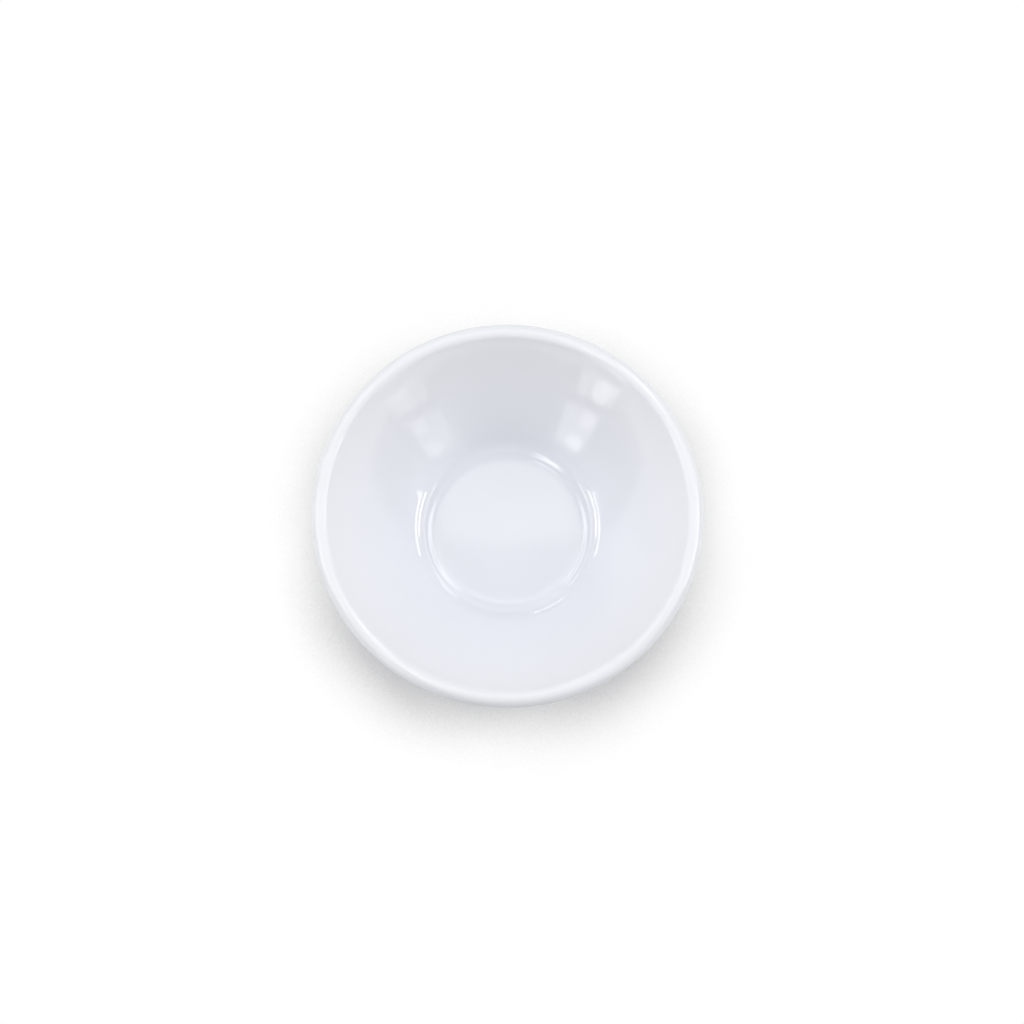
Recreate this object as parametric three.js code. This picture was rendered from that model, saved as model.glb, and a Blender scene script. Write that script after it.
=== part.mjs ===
// A round, flared ramekin: a fired porcelain body, the glaze that covers it, and the glaze under its base.
// Millimetres, +Z up. The origin is the centre of the foot ring, on the surface that the ramekin stands on.

import * as THREE from 'three';

// Rim and wall, measured over the glaze.
const rimRadius = 43;
const lipRadius = 2;
const wallSlopeAtFloor = 37;
const wallSlopeAtRim = 51;

// Inside floor.
const floorRadius = 16.4;
const floorFillet = 8;
const floorThickness = 4;

// Foot ring, which is bare porcelain where it touches the table.
const footOuterRadius = 22;
const footInnerRadius = 19.4;
const footEdge = 0.5;
const footBlend = 2;
const undersideHeight = 1.8;
const undersideFillet = 1.1;

// Glaze coat, which stops a little above the table so that the ramekin doesn't stick in the kiln.
const glazeThickness = 0.3;
const bareFootHeight = 1.2;

// Facets.
const segmentsAround = 60;
const filletSteps = 3;
const wallSteps = 5;
const lipSteps = 7;
const edgeSteps = 2;

// Directions in the section, in degrees from straight down, turning outward.
const down = 0;
const outward = 90;
const up = 180;
const inward = 270;

const sine = (degrees) => Math.sin(THREE.MathUtils.degToRad(degrees));
const cosine = (degrees) => Math.cos(THREE.MathUtils.degToRad(degrees));

// Centres of the section's arcs, with x as the distance from the axis and y as the height.
const floorLevel = undersideHeight + floorThickness;
const wallRadius = (rimRadius - lipRadius - floorRadius - floorFillet * sine(wallSlopeAtFloor)
  - lipRadius * sine(wallSlopeAtRim)) / (sine(wallSlopeAtRim) - sine(wallSlopeAtFloor));
const outerWallRadius = wallRadius + 2 * lipRadius;
const filletCentre = new THREE.Vector2(floorRadius, floorLevel + floorFillet);
const wallCentre = alongSlope(filletCentre, floorFillet - wallRadius, wallSlopeAtFloor);
const lipCentre = alongSlope(wallCentre, wallRadius + lipRadius, wallSlopeAtRim);
const blendReach = footOuterRadius + glazeThickness + footBlend - wallCentre.x;
const blendSlope = THREE.MathUtils.radToDeg(Math.asin(blendReach / (outerWallRadius + footBlend)));
const blendCentre = alongSlope(wallCentre, outerWallRadius + footBlend, blendSlope);
const undersideCentre = new THREE.Vector2(
  footInnerRadius - undersideFillet,
  undersideHeight + glazeThickness - undersideFillet,
);

// The point at a distance from a centre. The angle is measured from straight down, turning outward.
function alongSlope(centre, distance, angle) {
  return new THREE.Vector2(centre.x + distance * sine(angle), centre.y - distance * cosine(angle));
}

// Points along an arc of the section, both ends included.
function arc(centre, radius, fromAngle, toAngle, steps) {
  const points = [];
  for (let step = 0; step <= steps; step += 1) {
    points.push(alongSlope(centre, radius, THREE.MathUtils.lerp(fromAngle, toAngle, step / steps)));
  }
  return points;
}

// The glazed stretch of the section, from the middle of the floor over the rim to the bare foot.
// The inset is the depth below the glaze's surface.
function glazedOutline(inset) {
  return [
    new THREE.Vector2(0, floorLevel - inset),
    ...arc(filletCentre, floorFillet + inset, down, wallSlopeAtFloor, filletSteps),
    ...arc(wallCentre, wallRadius + inset, wallSlopeAtFloor, wallSlopeAtRim, wallSteps).slice(1, -1),
    ...arc(lipCentre, lipRadius - inset, wallSlopeAtRim + up, wallSlopeAtRim, lipSteps),
    ...arc(wallCentre, outerWallRadius - inset, wallSlopeAtRim, blendSlope, wallSteps).slice(1, -1),
    ...arc(blendCentre, footBlend + inset, blendSlope + up, inward, filletSteps),
    new THREE.Vector2(footOuterRadius + glazeThickness - inset, bareFootHeight),
  ];
}

// The glazed stretch under the base, from the foot's inner side to the middle.
function undersideOutline(inset) {
  return [
    ...arc(undersideCentre, undersideFillet - glazeThickness + inset, outward, up, filletSteps),
    new THREE.Vector2(0, undersideHeight + inset),
  ];
}

// The bare foot ring, round its outer edge, across the face that it stands on and round its inner edge.
function footOutline() {
  const outerEdge = new THREE.Vector2(footOuterRadius - footEdge, footEdge);
  const innerEdge = new THREE.Vector2(footInnerRadius + footEdge, footEdge);
  return [
    ...arc(outerEdge, footEdge, outward, down, edgeSteps),
    ...arc(innerEdge, footEdge, down, -outward, edgeSteps),
  ];
}

// A section turned round the axis. The list runs from the top of the axis, outward and down, so it is
// reversed to turn the faces outward, and the lathe's axis is then stood up along +Z.
function turned(name, outline, material) {
  const geometry = new THREE.LatheGeometry([...outline].reverse(), segmentsAround);
  geometry.rotateX(Math.PI / 2);
  const mesh = new THREE.Mesh(geometry, material);
  mesh.name = name;
  return mesh;
}

const glazedSurface = glazedOutline(0);
const glazedBody = glazedOutline(glazeThickness);
const undersideSurface = undersideOutline(0);
const undersideBody = undersideOutline(glazeThickness);

const barePorcelain = new THREE.MeshStandardMaterial({ color: 0xe4e2dc, roughness: 0.75, metalness: 0 });
const glaze = new THREE.MeshStandardMaterial({ color: 0xe6eaf2, roughness: 0.1, metalness: 0 });
const undersideGlaze = new THREE.MeshStandardMaterial({ color: 0xe4e8f0, roughness: 0.14, metalness: 0 });

const ramekin = new THREE.Group();
ramekin.name = 'ramekin';
ramekin.add(
  turned('porcelain_body', [...glazedBody, ...footOutline(), ...undersideBody], barePorcelain),
  turned('glaze_coat', [...glazedSurface, ...glazedBody.toReversed()], glaze),
  turned('underside_glaze', [...undersideBody.toReversed(), ...undersideSurface], undersideGlaze),
);

export default ramekin;
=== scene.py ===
"""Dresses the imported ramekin: a glazed porcelain dish on a pale floor, seen from nearly overhead."""

import logging
import math
from dataclasses import dataclass, field
from enum import Enum
from typing import Any, Sequence, Union

import bpy
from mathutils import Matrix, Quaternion, Vector


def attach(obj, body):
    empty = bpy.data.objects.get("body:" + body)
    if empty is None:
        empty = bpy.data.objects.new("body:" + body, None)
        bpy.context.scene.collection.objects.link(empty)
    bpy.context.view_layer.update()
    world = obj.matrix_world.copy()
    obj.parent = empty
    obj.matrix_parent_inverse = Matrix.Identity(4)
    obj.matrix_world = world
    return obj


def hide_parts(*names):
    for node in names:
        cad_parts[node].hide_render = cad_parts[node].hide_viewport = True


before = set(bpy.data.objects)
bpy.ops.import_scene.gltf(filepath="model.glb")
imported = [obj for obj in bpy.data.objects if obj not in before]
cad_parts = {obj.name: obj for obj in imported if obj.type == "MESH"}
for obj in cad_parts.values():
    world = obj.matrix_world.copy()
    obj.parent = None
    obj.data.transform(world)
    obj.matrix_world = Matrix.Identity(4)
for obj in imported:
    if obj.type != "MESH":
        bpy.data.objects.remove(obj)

LOG = logging.getLogger("ramekin")
MM = 0.001
BODY = "root"
IMAGE_PIXELS = 1024
WHITE = (1.0, 1.0, 1.0)
WHITE_RAYS = ("Is Camera Ray", "Is Glossy Ray", "Is Transmission Ray")

# Directions in the section, in degrees from straight down, turning outward.
DOWN = 0.0
OUTWARD = 90.0
UP = 180.0
INWARD = 270.0

Point = tuple[float, float]
Colour = tuple[float, float, float]
Settings = dict[str, Any]


class Node(Enum):
    """The CAD solids that the modelled pieces stand for."""

    BODY = "porcelain_body"
    COAT = "glaze_coat"
    UNDERSIDE = "underside_glaze"


class Slot(Enum):
    """The record's material slots."""

    BARE = "bare_porcelain"
    GLAZE = "white_glaze"
    BASE = "base_glaze"


class Wire:
    """A shader socket that takes part in Python expressions."""

    def __init__(self, board: "Board", socket: bpy.types.NodeSocket) -> None:
        """Keeps the socket and the board that its node stands on."""
        self.board = board
        self.socket = socket

    def maths(self, operation: str, first: "Value", second: "Value") -> "Wire":
        """Adds one Math node.

        Args:
            operation: The node's operation.
            first: Its first value.
            second: Its second value.

        Returns:
            The node's result.
        """
        return self.board.node("ShaderNodeMath", {"operation": operation}, {0: first, 1: second})

    def __add__(self, other: "Value") -> "Wire":
        """Sum with a value."""
        return self.maths("ADD", self, other)

    def __radd__(self, other: "Value") -> "Wire":
        """Sum with a number on the left."""
        return self.maths("ADD", other, self)

    def __sub__(self, other: "Value") -> "Wire":
        """Difference from a value."""
        return self.maths("SUBTRACT", self, other)

    def __rsub__(self, other: "Value") -> "Wire":
        """Difference from a number on the left."""
        return self.maths("SUBTRACT", other, self)

    def __mul__(self, other: "Value") -> "Wire":
        """Product with a value."""
        return self.maths("MULTIPLY", self, other)

    def __rmul__(self, other: "Value") -> "Wire":
        """Product with a number on the left."""
        return self.maths("MULTIPLY", other, self)

    def __gt__(self, other: "Value") -> "Wire":
        """One where the wire is above a value, zero elsewhere."""
        return self.maths("GREATER_THAN", self, other)

    def __lt__(self, other: "Value") -> "Wire":
        """One where the wire is below a value, zero elsewhere."""
        return self.maths("LESS_THAN", self, other)

    def ramp(self, low: float, high: float) -> "Wire":
        """A smooth step from zero at low to one at high.

        Args:
            low: The value where the step starts.
            high: The value where it ends, below low for a falling step.

        Returns:
            The step.
        """
        names = {"Value": self, "From Min": low, "From Max": high, "To Min": 0.0, "To Max": 1.0}
        return self.board.node("ShaderNodeMapRange", {"interpolation_type": "SMOOTHSTEP"}, names)


Value = Union[Wire, float]


@dataclass
class Board:
    """The node tree of one material, or of the room's light."""

    tree: bpy.types.NodeTree

    def node(self, kind: str, settings: Settings, inputs: dict[Any, Any], output: Any = 0) -> Wire:
        """Adds a node.

        Args:
            kind: Blender's name for the node's type.
            settings: The node's own settings, set before its sockets.
            inputs: Values or wires for its sockets, by name or number.
            output: The socket that comes back.

        Returns:
            The chosen output.
        """
        made = self.tree.nodes.new(kind)
        for name, value in settings.items():
            setattr(made, name, value)
        self.fill(made, inputs)
        return Wire(self, made.outputs[output])

    def fill(self, node: bpy.types.Node, inputs: dict[Any, Any]) -> None:
        """Sets a node's sockets to values and joins them to wires.

        Args:
            node: The node.
            inputs: Values or wires for its sockets, by name or number.
        """
        for name, value in inputs.items():
            if isinstance(value, Wire):
                self.tree.links.new(value.socket, node.inputs[name])
            else:
                node.inputs[name].default_value = value

    def mixed(self, factor: Value, first: Any, second: Any) -> Wire:
        """A colour between two colours.

        Args:
            factor: Zero for the first colour, one for the second.
            first: A colour or a wire.
            second: A colour or a wire.

        Returns:
            The mixed colour.
        """
        settings = {"data_type": "RGBA", "clamp_factor": True}
        return self.node("ShaderNodeMix", settings, {0: factor, 6: paint(first), 7: paint(second)}, 2)

    def place(self) -> Wire:
        """The point on the piece, in metres in the ramekin's own frame."""
        return self.node("ShaderNodeTexCoord", {}, {}, "Object")

    def noise(self, place: Wire, grain: float, detail: float = 2.0) -> Wire:
        """Soft noise from zero to one.

        Args:
            place: The point that it is read at.
            grain: The size of its blots, in metres.
            detail: The number of finer layers.

        Returns:
            The noise.
        """
        inputs = {"Vector": place, "Scale": 1.0 / grain, "Detail": detail, "Roughness": 0.5}
        return self.node("ShaderNodeTexNoise", {}, inputs, "Fac")

    def height(self, place: Wire) -> Wire:
        """The height above the table, in metres."""
        return self.node("ShaderNodeSeparateXYZ", {}, {0: place}, "Z")

    def radius(self, place: Wire) -> Wire:
        """The distance from the ramekin's axis, in metres."""
        flat = self.node("ShaderNodeVectorMath", {"operation": "MULTIPLY"}, {0: place, 1: (1.0, 1.0, 0.0)})
        return self.node("ShaderNodeVectorMath", {"operation": "LENGTH"}, {0: flat}, "Value")

    def dots(self, place: Wire, spacing: float, size: float, share: float) -> Wire:
        """Rare round dots.

        Args:
            place: The point that they are read at.
            spacing: The size of the cells that may hold a dot, in metres.
            size: A dot's radius, in metres.
            share: The share of the cells that hold one.

        Returns:
            One inside a dot, falling to zero at its edge.
        """
        cells = {"Vector": place, "Scale": 1.0 / spacing}
        away = self.node("ShaderNodeTexVoronoi", {}, cells, "Distance")
        pick = self.node("ShaderNodeTexVoronoi", {}, cells, "Color")
        chosen = self.node("ShaderNodeSeparateColor", {}, {0: pick}, "Red") < share
        return chosen * away.ramp(size / spacing, 0.3 * size / spacing)

    def bump(self, height: Wire, depth: float, strength: float = 1.0) -> Wire:
        """A normal bent by a height.

        Args:
            height: The height, from zero to one.
            depth: The rise from zero to one, in metres.
            strength: The share of the bump that shows.

        Returns:
            The bent normal.
        """
        inputs = {"Height": height, "Distance": depth, "Strength": strength}
        return self.node("ShaderNodeBump", {}, inputs, "Normal")


def paint(colour: Any) -> Any:
    """A colour with full alpha, or the wire as it is."""
    return colour if isinstance(colour, Wire) else (*colour, 1.0)


def new_board(name: str) -> tuple[bpy.types.Material, Board]:
    """Starts a material with Blender's own Principled shader.

    Args:
        name: The material's name.

    Returns:
        The material and its board.
    """
    material = bpy.data.materials.new(name)
    material.use_nodes = True
    return material, Board(material.node_tree)


def close_board(board: Board, surface: Settings) -> None:
    """Ends a material in its Principled shader.

    Args:
        board: The material's board.
        surface: Values or wires for the shader's sockets.
    """
    board.fill(board.tree.nodes["Principled BSDF"], surface)


@dataclass(frozen=True)
class Bead:
    """A low ring in the curve round the floor, where the glaze has run together."""

    radius: float
    height: float
    width: float

    def lift(self, radius: float) -> float:
        """Its rise above the plain curve, at a distance from the axis."""
        return self.height * math.exp(-((radius - self.radius) / self.width) ** 2)


@dataclass(frozen=True)
class RamekinSection:
    """Half of the ramekin's section, made of arcs, with points as distance from the axis and height.

    Angles are in degrees from straight down, turning outward, and sizes are over the glaze.
    """

    rim_radius: float = 43.0 * MM
    lip_radius: float = 2.0 * MM
    wall_slope_at_floor: float = 37.0
    wall_slope_at_rim: float = 51.0
    floor_radius: float = 16.4 * MM
    floor_fillet: float = 8.0 * MM
    floor_thickness: float = 4.0 * MM
    foot_outer_radius: float = 22.0 * MM
    foot_inner_radius: float = 19.4 * MM
    foot_edge: float = 0.5 * MM
    foot_blend: float = 2.0 * MM
    underside_height: float = 1.8 * MM
    underside_fillet: float = 1.1 * MM
    glaze: float = 0.3 * MM
    bare_foot_height: float = 1.2 * MM
    bead: Bead = Bead(18.0 * MM, 0.12 * MM, 0.85 * MM)
    floor_steps: int = 3
    fillet_steps: int = 16
    wall_steps: int = 6
    lip_steps: int = 6
    blend_steps: int = 3
    underside_steps: int = 2

    @property
    def floor_level(self) -> float:
        """Height of the inside floor."""
        return self.underside_height + self.floor_thickness

    @property
    def wall_radius(self) -> float:
        """Radius of the inner wall's arc, which joins the floor's fillet to the lip."""
        low = math.sin(math.radians(self.wall_slope_at_floor))
        high = math.sin(math.radians(self.wall_slope_at_rim))
        reach = self.rim_radius - self.lip_radius - self.floor_radius
        return (reach - self.floor_fillet * low - self.lip_radius * high) / (high - low)

    @property
    def outer_wall_radius(self) -> float:
        """Radius of the outer wall's arc."""
        return self.wall_radius + 2 * self.lip_radius

    @property
    def fillet_centre(self) -> Point:
        """Centre of the curve between the floor and the wall."""
        return self.floor_radius, self.floor_level + self.floor_fillet

    @property
    def wall_centre(self) -> Point:
        """Centre of both walls' arcs."""
        return along(self.fillet_centre, self.floor_fillet - self.wall_radius, self.wall_slope_at_floor)

    @property
    def lip_centre(self) -> Point:
        """Centre of the round lip."""
        return along(self.wall_centre, self.wall_radius + self.lip_radius, self.wall_slope_at_rim)

    @property
    def blend_slope(self) -> float:
        """Angle where the outer wall turns into the foot."""
        reach = self.foot_outer_radius + self.glaze + self.foot_blend - self.wall_centre[0]
        return math.degrees(math.asin(reach / (self.outer_wall_radius + self.foot_blend)))

    @property
    def blend_centre(self) -> Point:
        """Centre of the hollow curve between the outer wall and the foot."""
        return along(self.wall_centre, self.outer_wall_radius + self.foot_blend, self.blend_slope)

    def glazed(self, inset: float, fineness: int) -> list[Point]:
        """The glazed stretch, from the middle of the floor over the rim to the bare foot.

        Args:
            inset: Depth below the glaze's surface.
            fineness: Number that multiplies the steps of every arc.

        Returns:
            The points, from the axis outward.
        """
        low, high, blend = self.wall_slope_at_floor, self.wall_slope_at_rim, self.blend_slope
        level = self.floor_level - inset
        foot = self.foot_outer_radius + self.glaze - inset
        inner = arc(self.wall_centre, self.wall_radius + inset, low, high, self.wall_steps * fineness)
        outer = arc(self.wall_centre, self.outer_wall_radius - inset, high, blend, self.wall_steps * fineness)
        curve = arc(self.fillet_centre, self.floor_fillet + inset, DOWN, low, self.fillet_steps * fineness)
        return [
            *line((0.0, level), (self.floor_radius, level), self.floor_steps * fineness),
            *(curve if inset else self.beaded(curve))[1:],
            *inner[1:-1],
            *arc(self.lip_centre, self.lip_radius - inset, high + UP, high, self.lip_steps * fineness),
            *outer[1:-1],
            *arc(self.blend_centre, self.foot_blend + inset, blend + UP, INWARD, self.blend_steps * fineness),
            (foot, self.bare_foot_height + self.glaze),
        ]

    def beaded(self, curve: Sequence[Point]) -> list[Point]:
        """The curve round the floor, lifted into its low bead."""
        return [(away, level + self.bead.lift(away)) for away, level in curve]

    def glaze_edge(self, fineness: int) -> list[Point]:
        """The rounded lower edge of the coat, from its surface in to the bare foot."""
        centre = (self.foot_outer_radius, self.bare_foot_height + self.glaze)
        return arc(centre, self.glaze, OUTWARD, DOWN, fineness)[1:]

    def foot(self, fineness: int) -> list[Point]:
        """The bare ring, across the face that it stands on.

        Args:
            fineness: Number of steps in each rounded edge.

        Returns:
            The points, from the outer edge to the inner edge.
        """
        outer = (self.foot_outer_radius - self.foot_edge, self.foot_edge)
        inner = (self.foot_inner_radius + self.foot_edge, self.foot_edge)
        return [
            *arc(outer, self.foot_edge, OUTWARD, DOWN, fineness),
            *arc(inner, self.foot_edge, DOWN, -OUTWARD, fineness),
        ]

    def underside(self, inset: float, fineness: int) -> list[Point]:
        """The glazed stretch under the base.

        Args:
            inset: Depth behind the glaze's surface.
            fineness: Number that multiplies the steps of each stretch.

        Returns:
            The points, from the foot's inner side to the axis.
        """
        level = self.underside_height + self.glaze - self.underside_fillet
        centre = (self.foot_inner_radius - self.underside_fillet, level)
        steps = self.underside_steps * fineness
        curve = arc(centre, self.underside_fillet - self.glaze + inset, OUTWARD, UP, steps)
        return [*curve, *line(curve[-1], (0.0, self.underside_height + inset), steps)[1:]]


def along(centre: Point, distance: float, angle: float) -> Point:
    """The point at a distance from a centre, in a direction measured from straight down."""
    turn = math.radians(angle)
    return centre[0] + distance * math.sin(turn), centre[1] - distance * math.cos(turn)


def arc(centre: Point, radius: float, start: float, end: float, steps: int) -> list[Point]:
    """Points along an arc, both ends included.

    Args:
        centre: The arc's centre.
        radius: Its radius.
        start: The angle that it starts at.
        end: The angle that it ends at.
        steps: The number of stretches between the points.

    Returns:
        The points.
    """
    return [along(centre, radius, start + (end - start) * step / steps) for step in range(steps + 1)]


def line(start: Point, end: Point, steps: int) -> list[Point]:
    """Points along a straight stretch, both ends included."""
    share = [step / steps for step in range(steps + 1)]
    return [(start[0] + (end[0] - start[0]) * t, start[1] + (end[1] - start[1]) * t) for t in share]


@dataclass
class Wheel:
    """A potter's wheel: it draws a half section with extrudes and spins it into a closed piece."""

    turns: int = 240
    merge_distance: float = 0.0002 * MM
    sharp_angle: float = 50.0
    warp: float = 0.12 * MM
    warp_size: float = 38.0 * MM
    level_height: float = 3.0 * MM
    free_height: float = 12.0 * MM

    def throw(self, name: str, outline: Sequence[Point]) -> bpy.types.Object:
        """Makes a piece from its section.

        Args:
            name: The piece's name.
            outline: The section, which starts and ends on the axis.

        Returns:
            The finished mesh object, at the origin.
        """
        piece = self.draw(name, outline)
        self.spin()
        self.settle(piece)
        return piece

    def draw(self, name: str, outline: Sequence[Point]) -> bpy.types.Object:
        """Draws the section as a chain of edges, by extruding one vertex along it.

        Args:
            name: The piece's name.
            outline: The section.

        Returns:
            The object, left in edit mode.
        """
        bpy.ops.object.select_all(action="DESELECT")
        bpy.ops.mesh.primitive_plane_add(size=self.merge_distance, location=(0.0, 0.0, 0.0))
        piece = bpy.context.object
        piece.name = name
        piece.data.name = name
        bpy.ops.object.mode_set(mode="EDIT")
        bpy.ops.mesh.merge(type="CENTER")
        bpy.ops.transform.translate(value=(outline[0][0], 0.0, outline[0][1]))
        for here, there in zip(outline, outline[1:]):
            step = (there[0] - here[0], 0.0, there[1] - here[1])
            bpy.ops.mesh.extrude_region_move(TRANSFORM_OT_translate={"value": step})
        return piece

    def spin(self) -> None:
        """Spins the section a full turn and closes its seam and poles."""
        bpy.ops.mesh.select_all(action="SELECT")
        bpy.ops.mesh.spin(steps=self.turns, angle=math.tau, center=(0.0, 0.0, 0.0), axis=(0.0, 0.0, 1.0))
        bpy.ops.mesh.select_all(action="SELECT")
        bpy.ops.mesh.remove_doubles(threshold=self.merge_distance)
        bpy.ops.mesh.normals_make_consistent(inside=False)
        bpy.ops.object.mode_set(mode="OBJECT")

    def settle(self, piece: bpy.types.Object) -> None:
        """Gives the piece the slight warp of a fired dish, none at its foot, and smooths its shading.

        Args:
            piece: The piece, which is the active object.
        """
        free = piece.vertex_groups.new(name="free_to_warp")
        for point in piece.data.vertices:
            share = (point.co.z - self.level_height) / (self.free_height - self.level_height)
            free.add([point.index], min(max(share, 0.0), 1.0), "REPLACE")
        clouds = bpy.data.textures.new(piece.name + "_warp", "CLOUDS")
        clouds.cloud_type = "COLOR"
        clouds.noise_scale = self.warp_size
        clouds.noise_depth = 0
        shift = piece.modifiers.new("warp", "DISPLACE")
        shift.texture = clouds
        shift.texture_coords = "LOCAL"
        shift.direction = "RGB_TO_XYZ"
        shift.mid_level = 0.5
        shift.strength = self.warp
        shift.vertex_group = free.name
        bpy.ops.object.modifier_apply(modifier=shift.name)
        bpy.ops.object.shade_smooth_by_angle(angle=math.radians(self.sharp_angle))


@dataclass(frozen=True)
class GlazeFinish:
    """Glossy white glaze with a cool cast: bluer and darker where it pools, with painted shade added in the
    curve round the floor, and whiter up the wall where it thins, with painted light added towards the lip.
    """

    name: str = "white_glaze"
    colour: Colour = (0.785, 0.803, 0.855)
    # Darker, bluer colour: glaze pools, and painted shade in the curve round the floor.
    pooled_and_shaded: Colour = (0.762, 0.784, 0.843)
    # Whiter colour: glaze thins up the wall, and painted light towards the lip.
    thin: Colour = (0.858, 0.871, 0.911)
    speck: Colour = (0.36, 0.33, 0.30)
    roughness: float = 0.04
    ior: float = 1.5
    blot_size: float = 16.0 * MM
    peel_size: float = 1.4 * MM
    peel_depth: float = 0.0035 * MM
    speck_spacing: float = 5.0 * MM
    speck_radius: float = 0.1 * MM
    speck_share: float = 0.012
    pinhole_spacing: float = 4.0 * MM
    pinhole_radius: float = 0.14 * MM
    pinhole_share: float = 0.02
    # Where the darker ring round the floor sits: painted shade, where glaze also pools.
    pool_and_shade_offset: float = 2.4 * MM
    pool_and_shade_inner_reach: float = 4.0 * MM
    pool_and_shade_outer_reach: float = 5.0 * MM
    pool_edge_height: float = 1.6 * MM

    def material(self, section: RamekinSection) -> bpy.types.Material:
        """Makes the material.

        Args:
            section: The section, whose heights and radii say where the glaze pools and thins, and where the
                painted shade and painted light go.

        Returns:
            The material.
        """
        material, board = new_board(self.name)
        place = board.place()
        height, radius = board.height(place), board.radius(place)
        blots = board.noise(place, self.blot_size)
        peel = board.noise(place, self.peel_size, 1.0)
        specks = board.dots(place, self.speck_spacing, self.speck_radius, self.speck_share)
        pinholes = board.dots(place, self.pinhole_spacing, self.pinhole_radius, self.pinhole_share)
        # Painted shade: the pool colour darkens the curve round the floor, over real pools there and at the
        # coat's lower edge.
        colour = board.mixed(self.pooling_and_shade(section, height, radius, blots), self.colour, self.pooled_and_shaded)
        # Painted light: the thin colour whitens the wall towards the lip, over real glaze run-off.
        colour = board.mixed(self.thinning_and_light(section, radius, blots), colour, self.thin)
        colour = board.mixed(specks * 0.55, colour, self.speck)
        surface = {
            "Base Color": colour,
            "Roughness": self.roughness + 0.02 * blots + 0.25 * pinholes,
            "IOR": self.ior,
            "Normal": board.bump(peel - 0.9 * pinholes, self.peel_depth),
        }
        close_board(board, surface)
        return material

    def pooling_and_shade(self, section: RamekinSection, height: Wire, radius: Wire, blots: Wire) -> Wire:
        """Share of the darker, bluer pool colour: painted shade with some real pools in the curve round the
        floor, pools along the coat's lower edge, and random blots.

        Args:
            section: The ramekin's section.
            height: Height above the table.
            radius: Distance from the axis.
            blots: Soft noise.

        Returns:
            The share.
        """
        # Painted shade ring in the curve round the floor, where glaze also pools.
        middle = section.floor_radius + self.pool_and_shade_offset
        rising = radius.ramp(middle - self.pool_and_shade_inner_reach, middle)
        ring = rising * radius.ramp(middle + self.pool_and_shade_outer_reach, middle)
        inside = height > section.floor_level - section.glaze
        edge = height.ramp(section.bare_foot_height + self.pool_edge_height, section.bare_foot_height)
        return (ring * inside * 0.7 + edge) * (0.6 + 0.5 * blots) + 0.18 * blots

    def thinning_and_light(self, section: RamekinSection, radius: Wire, blots: Wire) -> Wire:
        """Share of the thin colour, whiter: up the wall to the lip, partly where the glaze runs off and
        partly painted light on the upper wall.
        """
        # Painted light: whiter from low on the wall up to the lip.
        start = section.floor_radius + section.floor_fillet * 0.6
        return radius.ramp(start, section.lip_centre[0]) * (0.94 + 0.1 * blots)


@dataclass(frozen=True)
class BareFinish:
    """Unglazed porcelain: off-white, fine grained and matt, scuffed where it stands."""

    name: str = "bare_porcelain"
    colour: Colour = (0.74, 0.725, 0.69)
    shade: Colour = (0.66, 0.64, 0.60)
    scuff: Colour = (0.42, 0.41, 0.40)
    roughness: float = 0.62
    blot_size: float = 5.0 * MM
    grain_size: float = 0.35 * MM
    grain_depth: float = 0.03 * MM
    scuff_size: float = 1.6 * MM

    def material(self, section: RamekinSection) -> bpy.types.Material:
        """Makes the material.

        Args:
            section: The section, which says where the foot meets the table.

        Returns:
            The material.
        """
        material, board = new_board(self.name)
        place = board.place()
        height = board.height(place)
        blots = board.noise(place, self.blot_size, 3.0)
        grain = board.noise(place, self.grain_size, 3.0)
        standing = height.ramp(0.45 * section.foot_edge, 0.0)
        scuffs = standing * board.noise(place, self.scuff_size, 4.0).ramp(0.52, 0.72)
        colour = board.mixed(blots * 0.5 + grain * 0.35, self.colour, self.shade)
        colour = board.mixed(scuffs * 0.5, colour, self.scuff)
        surface = {
            "Base Color": colour,
            "Roughness": self.roughness + 0.2 * grain - 0.18 * scuffs,
            "Normal": board.bump(grain, self.grain_depth, 0.6),
        }
        close_board(board, surface)
        return material


@dataclass
class GlazeCoat:
    """The glaze over the inside, the rim and the outside."""

    section: RamekinSection
    wheel: Wheel
    finish: GlazeFinish = field(default_factory=GlazeFinish)
    fineness: int = 4

    def build(self) -> bpy.types.Object:
        """Throws the coat as a thin closed shell over the porcelain, dresses it and seats it.

        Returns:
            The finished coat.
        """
        surface = self.section.glazed(0.0, self.fineness)
        edge = self.section.glaze_edge(self.fineness)
        inner = self.section.glazed(self.section.glaze, 1)
        piece = self.wheel.throw("glazed_coat", [*surface, *edge, *inner[-2::-1]])
        piece.data.materials.append(self.finish.material(self.section))
        return seat(piece, Node.COAT)


@dataclass
class PorcelainBody:
    """The fired body under the glaze, which shows only on its foot ring."""

    section: RamekinSection
    wheel: Wheel
    finish: BareFinish = field(default_factory=BareFinish)
    fineness: int = 4

    def build(self) -> bpy.types.Object:
        """Throws the porcelain, dresses it and seats it.

        Returns:
            The finished porcelain body.
        """
        covered = self.section.glazed(self.section.glaze, 1)
        foot = self.section.foot(self.fineness)
        underside = self.section.underside(self.section.glaze, 1)
        piece = self.wheel.throw("fired_body", [*covered, *foot, *underside])
        piece.data.materials.append(self.finish.material(self.section))
        return seat(piece, Node.BODY)


@dataclass
class UndersideGlaze:
    """The glaze inside the foot ring."""

    section: RamekinSection
    wheel: Wheel
    finish: GlazeFinish = field(default_factory=lambda: GlazeFinish(name="base_glaze", roughness=0.08))
    fineness: int = 4

    def build(self) -> bpy.types.Object:
        """Throws the glaze as a thin closed disc, dresses it and seats it.

        Returns:
            The finished underside glaze.
        """
        against = self.section.underside(self.section.glaze, 1)
        surface = self.section.underside(0.0, self.fineness)
        piece = self.wheel.throw("glazed_underside", [*against[::-1], *surface])
        piece.data.materials.append(self.finish.material(self.section))
        return seat(piece, Node.UNDERSIDE)


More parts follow.
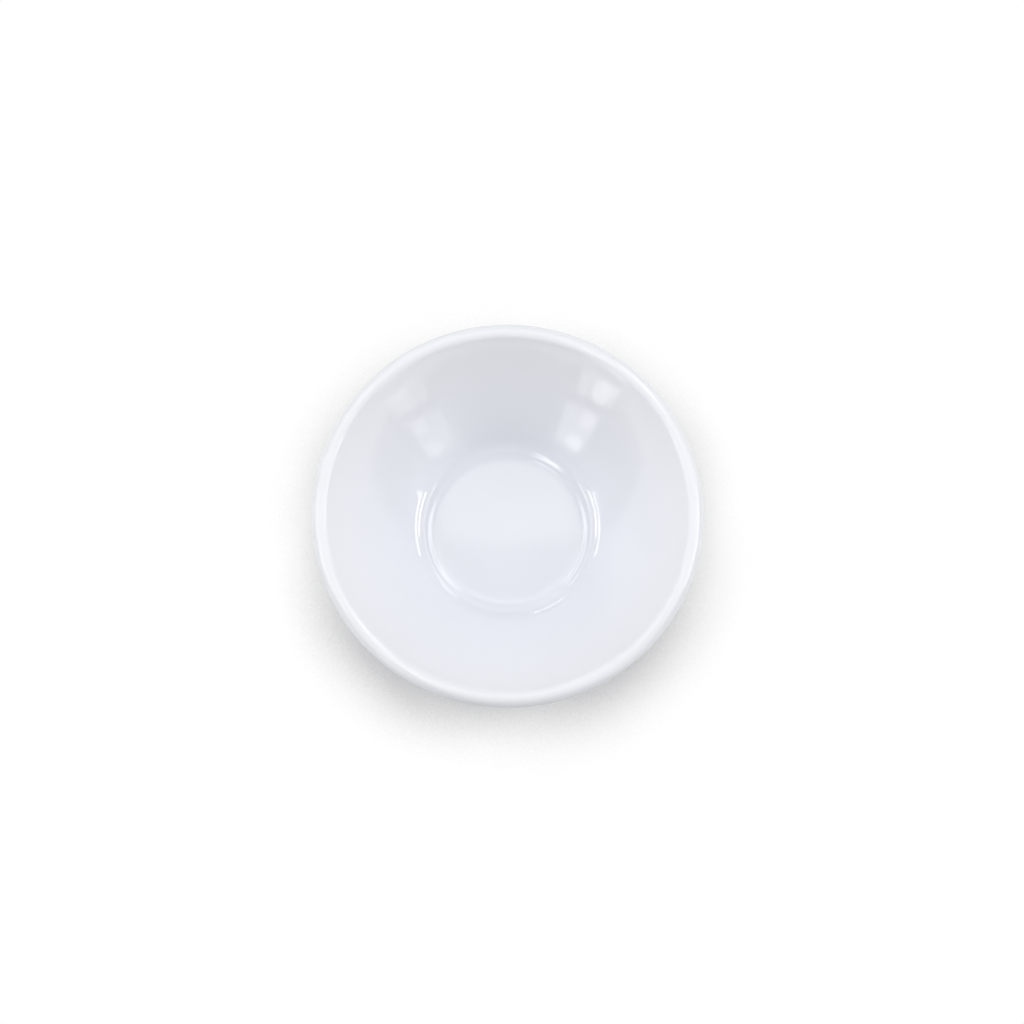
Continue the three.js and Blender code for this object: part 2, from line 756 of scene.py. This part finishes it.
def seat(piece: bpy.types.Object, node: Node) -> bpy.types.Object:
    """Puts a finished piece in the place of its CAD solid.

    Args:
        piece: The finished piece.
        node: The solid that it stands for.

    Returns:
        The piece.
    """
    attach(piece, BODY)
    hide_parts(node.value)
    return piece


class LampShape(Enum):
    """Outlines of a lamp, with Blender's name for each."""

    PANEL = "RECTANGLE"
    BULB = "ELLIPSE"


@dataclass(frozen=True)
class Softbox:
    """A soft lamp that faces the ramekin, placed and sized by how the ramekin sees it.

    Angles are in degrees: azimuth 0 is to the right, 90 behind and 270 in front, elevation is above the
    horizon, and the lamp covers the spread sideways and the rise upward. Radiance 1 is white.
    """

    name: str
    azimuth: float
    elevation: float
    spread: float
    rise: float
    radiance: float
    shape: LampShape = LampShape.PANEL
    distance: float = 0.9
    roll: float = 0.0

    def hang(self, target: Vector) -> bpy.types.Object:
        """Hangs the lamp, with its width level before its roll.

        Args:
            target: The point that it faces.

        Returns:
            The lamp's object.
        """
        turn, lift = math.radians(self.azimuth), math.radians(self.elevation)
        away = Vector((math.cos(lift) * math.cos(turn), math.cos(lift) * math.sin(turn), math.sin(lift)))
        bpy.ops.object.light_add(type="AREA", location=target + away * self.distance)
        lamp = bpy.context.object
        lamp.name = self.name
        rolled = Quaternion((0.0, 0.0, 1.0), math.radians(self.roll))
        lamp.rotation_euler = ((-away).to_track_quat("-Z", "Y") @ rolled).to_euler()
        lamp.data.shape = self.shape.value
        lamp.data.size = 2.0 * self.distance * math.tan(math.radians(self.spread) / 2.0)
        lamp.data.size_y = 2.0 * self.distance * math.tan(math.radians(self.rise) / 2.0)
        area = lamp.data.size * lamp.data.size_y
        if self.shape is LampShape.BULB:
            area *= math.pi / 4.0
        lamp.data.energy = self.radiance * math.pi * area
        lamp.visible_camera = False
        return lamp


@dataclass(frozen=True)
class LampBank:
    """An upright bank of three bulbs in front of a diffuser, which has a gap above the lowest bulb.

    The bank leans over and its bulbs stand off the diffuser's middle, by the sign of the lean. The gap
    parts the diffuser into two stretches, each given by its elevation, spread and rise.
    """

    name: str
    azimuth: float
    lean: float
    glow: float
    bulbs: tuple[float, float, float]
    elevations: tuple[float, float, float] = (22.8, 16.0, 8.0)
    spreads: tuple[float, float, float] = (10.0, 8.5, 8.5)
    rises: tuple[float, float, float] = (4.2, 4.2, 5.8)
    offsets: tuple[float, float, float] = (4.0, 3.2, 2.2)
    upper_stretch: tuple[float, float, float] = (19.2, 18.5, 10.5)
    lower_stretch: tuple[float, float, float] = (7.9, 18.0, 6.0)
    panel_distance: float = 0.9
    bulb_distance: float = 0.85
    tilt: float = 11.0

    def lamps(self) -> list[Softbox]:
        """Lists the bank's lamps.

        Returns:
            The diffuser's two stretches, then the bulbs in front of them.
        """
        roll = -self.lean * self.tilt
        panel = (self.glow, LampShape.PANEL, self.panel_distance, roll)
        panels = [
            Softbox(self.name + "_upper", self.azimuth, *self.upper_stretch, *panel),
            Softbox(self.name + "_lower", self.azimuth, *self.lower_stretch, *panel),
        ]
        sizes = zip(self.offsets, self.elevations, self.spreads, self.rises, self.bulbs)
        spots = [
            Softbox(f"{self.name}_bulb_{number}", self.azimuth + self.lean * offset, lift, spread, rise, glow,
                    LampShape.BULB, self.bulb_distance, roll)
            for number, (offset, lift, spread, rise, glow) in enumerate(sizes)
        ]
        return [*panels, *spots]


def studio_lamps() -> list[Softbox]:
    """Lists the studio's lamps.

    Returns:
        Soft light over the dish and at its sides and back, then two banks in front.
    """
    return [
        Softbox("over_camera", 202.5, 80.5, 7.7, 5.0, 6.0),
        Softbox("over_back", 90.0, 70.4, 22.0, 16.4, 1.35),
        Softbox("over_left", 157.5, 63.5, 37.8, 6.5, 3.9),
        Softbox("over_right", 22.5, 63.5, 37.8, 6.5, 3.8),
        Softbox("strip_left", 176.0, 38.5, 25.3, 5.0, 8.0),
        Softbox("strip_right", 4.0, 38.5, 25.3, 5.0, 9.0),
        Softbox("side_left", 171.0, 26.0, 38.0, 8.0, 4.6),
        Softbox("side_right", 9.0, 26.0, 38.0, 8.0, 5.3),
        Softbox("back_left", 116.0, 51.5, 17.7, 5.0, 1.6),
        Softbox("back_right", 57.0, 48.0, 10.0, 22.0, 2.4),
        Softbox("back_strip", 112.0, 27.3, 16.0, 4.0, 7.0),
        *LampBank("bank_left", 228.0, -1.0, 1.5, (1.9, 1.3, 1.8)).lamps(),
        *LampBank("bank_right", 316.7, 1.0, 0.9, (1.1, 0.9, 0.5)).lamps(),
    ]


@dataclass
class Studio:
    """The pale floor, the soft lamps and the camera nearly overhead."""

    section: RamekinSection
    floor_size: float = 6.0
    # Grey paper: open floor shows white, so this grey shows only in the painted shadow near the ramekin.
    floor_colour: Colour = (0.61, 0.61, 0.62)
    shade_reach: float = 40.0 * MM
    shade_range: tuple[float, float] = (0.52, 0.74)
    room_light: float = 0.07
    ceiling_light: float = 0.21
    ceiling_height: tuple[float, float] = (0.3, 0.8)
    side_light: float = 0.76
    side_width: tuple[float, float] = (0.12, 0.35)
    side_height: tuple[float, float] = (0.24, 0.4)
    backdrop_top: tuple[float, float] = (0.13, 0.09)
    camera_elevation: float = 78.0
    camera_distance: float = 0.6
    sensor: float = 36.0
    rim_pixels: float = 195.6
    rim_column: float = 507.6
    rim_row: float = 513.6
    lamps: list[Softbox] = field(default_factory=studio_lamps)

    @property
    def rim_centre(self) -> Vector:
        """The middle of the rim, at the height of the lip's centre."""
        return Vector((0.0, 0.0, self.section.lip_centre[1]))

    def build(self) -> None:
        """Sets the floor, the light and the camera."""
        self.lay_floor()
        self.light()
        self.aim_camera()
        bpy.context.scene.view_settings.view_transform = "Standard"

    def lay_floor(self) -> None:
        """Lays the plain floor under the foot ring."""
        bpy.ops.object.select_all(action="DESELECT")
        bpy.ops.mesh.primitive_plane_add(size=self.floor_size, location=(0.0, 0.0, 0.0))
        floor = bpy.context.object
        floor.name = "floor"
        floor.data.materials.append(self.floor_material())

    def floor_material(self) -> bpy.types.Material:
        """Makes pale paper that shows as plain white where it lies open and keeps the ramekin's shadow.

        Returns:
            The material.
        """
        material, board = new_board("pale_floor")
        close_board(board, {"Base Color": paint(self.floor_colour), "Roughness": 0.9})
        paper = Wire(board, board.tree.nodes["Principled BSDF"].outputs["BSDF"])
        white = board.node("ShaderNodeEmission", {}, {"Color": paint(WHITE), "Strength": 1.0})
        rays = [board.node("ShaderNodeLightPath", {}, {}, name) for name in WHITE_RAYS]
        reach = {"Distance": self.shade_reach}
        # Painted shadow: ambient occlusion fades the white out near the ramekin, so the grey paper, under the
        # lamps, shows there as its shadow, with an edge that the occlusion sets.
        openness = board.node("ShaderNodeAmbientOcclusion", {"samples": 4}, reach, "AO")
        share = (rays[0] + rays[1] + rays[2]) * openness.ramp(*self.shade_range)
        shown = board.node("ShaderNodeMixShader", {}, {0: share, 1: paper, 2: white})
        board.fill(board.tree.nodes["Material Output"], {"Surface": shown})
        return material

    def light(self) -> None:
        """Hangs the lamps and sets the room's soft light, which grows upward and to both sides.

        What the camera sees beyond the floor is a white backdrop, and mirrors see it near the horizon.
        """
        for lamp in self.lamps:
            lamp.hang(self.rim_centre)
        world = bpy.data.worlds.new("room_light")
        world.use_nodes = True
        board = Board(world.node_tree)
        direction = board.node("ShaderNodeTexCoord", {}, {}, "Generated")
        across = board.node("ShaderNodeSeparateXYZ", {}, {0: direction}, "X")
        height = board.height(direction)
        sides = (across * across).ramp(*self.side_width) * height.ramp(*self.side_height)
        ceiling = height.ramp(*self.ceiling_height)
        room = self.room_light + self.side_light * sides + self.ceiling_light * ceiling
        camera, glossy, through = [board.node("ShaderNodeLightPath", {}, {}, name) for name in WHITE_RAYS]
        backdrop = camera + (glossy + through) * height.ramp(*self.backdrop_top)
        strength = room * (1.0 - backdrop) + backdrop
        board.fill(world.node_tree.nodes["Background"], {"Color": paint(WHITE), "Strength": strength})
        bpy.context.scene.world = world

    def aim_camera(self) -> None:
        """Puts the camera at the photograph's angle, with the rim at its place and size in the picture."""
        rise = math.radians(self.camera_elevation)
        back = Vector((0.0, -math.cos(rise), math.sin(rise)))
        up = Vector((0.0, math.sin(rise), math.cos(rise)))
        pixel = self.section.rim_radius / self.rim_pixels
        middle = IMAGE_PIXELS / 2
        target = self.rim_centre + Vector(((middle - self.rim_column) * pixel, 0.0, 0.0))
        target += up * ((self.rim_row - middle) * pixel)
        bpy.ops.object.camera_add(location=target + back * self.camera_distance)
        camera = bpy.context.object
        camera.name = "camera"
        camera.rotation_euler = (-back).to_track_quat("-Z", "Y").to_euler()
        camera.data.sensor_width = self.sensor
        camera.data.lens = self.sensor * self.camera_distance / (pixel * IMAGE_PIXELS)
        camera.data.clip_start = 0.01
        bpy.context.scene.camera = camera


def main() -> None:
    """Builds the ramekin's pieces, then the studio round them."""
    logging.basicConfig(level=logging.INFO, format="%(name)s: %(message)s")
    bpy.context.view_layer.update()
    section, wheel = RamekinSection(), Wheel()
    for maker in (PorcelainBody(section, wheel), GlazeCoat(section, wheel), UndersideGlaze(section, wheel)):
        piece = maker.build()
        LOG.info("%s has %d faces", piece.name, len(piece.data.polygons))
    Studio(section).build()


if __name__ == "__main__":
    main()
